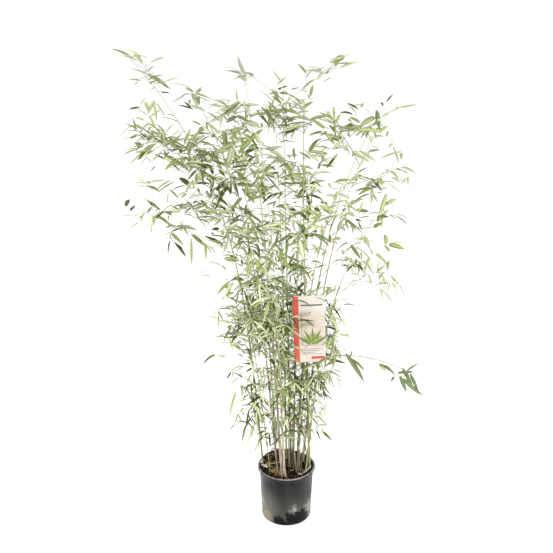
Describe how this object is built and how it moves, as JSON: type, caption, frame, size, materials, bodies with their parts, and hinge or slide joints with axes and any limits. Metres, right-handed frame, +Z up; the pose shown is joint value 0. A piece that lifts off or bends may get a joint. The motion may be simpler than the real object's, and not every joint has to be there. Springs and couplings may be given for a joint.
{
  "type": "potted bamboo",
  "caption": "Tall clumping bamboo in a round dark plastic nursery pot, with slender arching canes, loose leafy masses and a plain hanging card.",
  "frame": {"origin": "centre of the pot's flat underside", "axes": "+Z up along the canes, -Y towards the side with the hanging card, +X to the right when that side is seen"},
  "size_m": [1.2895, 0.8447, 2.0473],
  "materials": {
    "pot_plastic": "dark charcoal moulded plastic, softly glossy, dusty and scuffed near the foot",
    "bark_compost": "damp dark brown bark compost with dry litter",
    "cane_green": "smooth waxy green culm, darker low down, pale rings at the nodes",
    "cane_tan": "dry straw-tan culm with papery sheaths and darker node rings",
    "foliage": "thin mid-green leaf blades with a satin upper face and a greyer underside",
    "label_card": "pale coated card with a plain red side stripe and plain leaf shapes",
    "label_tie": "pale milky nylon band"
  },
  "bodies": {
    "root": {"bough_left_long": "cane_green", "bough_right_droop": "cane_green", "bough_right_lone": "cane_green", "bough_right_wing": "cane_green", "bough_top_left": "cane_green", "bough_top_right": "cane_green", "cane_back_left": "cane_green", "cane_back_middle": "cane_green", "cane_back_right": "cane_green", "cane_brown": "cane_tan", "cane_dark_left": "cane_green", "cane_dark_middle": "cane_green", "cane_dark_right": "cane_green", "cane_left_back": "cane_green", "cane_left_edge": "cane_green", "cane_left_front": "cane_green", "cane_middle_front": "cane_tan", "cane_middle_left": "cane_tan", "cane_middle_tall": "cane_tan", "cane_right_front": "cane_green", "cane_right_tall": "cane_green", "cane_tan": "cane_tan", "label_card": "label_card", "label_tie": "label_tie", "leaves_back_crown": "foliage", "leaves_back_low": "foliage", "leaves_back_skirt": "foliage", "leaves_back_waist": "foliage", "leaves_front_crown": "foliage", "leaves_front_skirt": "foliage", "leaves_front_waist": "foliage", "leaves_left_crest": "foliage", "leaves_left_fan": "foliage", "leaves_left_heart": "foliage", "leaves_left_long_middle": "foliage", "leaves_left_long_tip": "foliage", "leaves_left_shoot": "foliage", "leaves_left_shoulder": "foliage", "leaves_left_skirt": "foliage", "leaves_left_sprig": "foliage", "leaves_left_tier": "foliage", "leaves_left_waist": "foliage", "leaves_low_left": "foliage", "leaves_low_middle": "foliage", "leaves_low_right": "foliage", "leaves_middle_crest": "foliage", "leaves_right_fan_lower": "foliage", "leaves_right_fan_upper": "foliage", "leaves_right_inner_droop": "foliage", "leaves_right_lone_tip": "foliage", "leaves_right_outer_droop": "foliage", "leaves_right_shoulder": "foliage", "leaves_right_skirt": "foliage", "leaves_right_skirt_low": "foliage", "leaves_right_wing": "foliage", "leaves_right_wing_tip": "foliage", "leaves_top_left": "foliage", "leaves_top_right": "foliage", "pot": "pot_plastic", "soil": "bark_compost"}
  },
  "joints": []
}
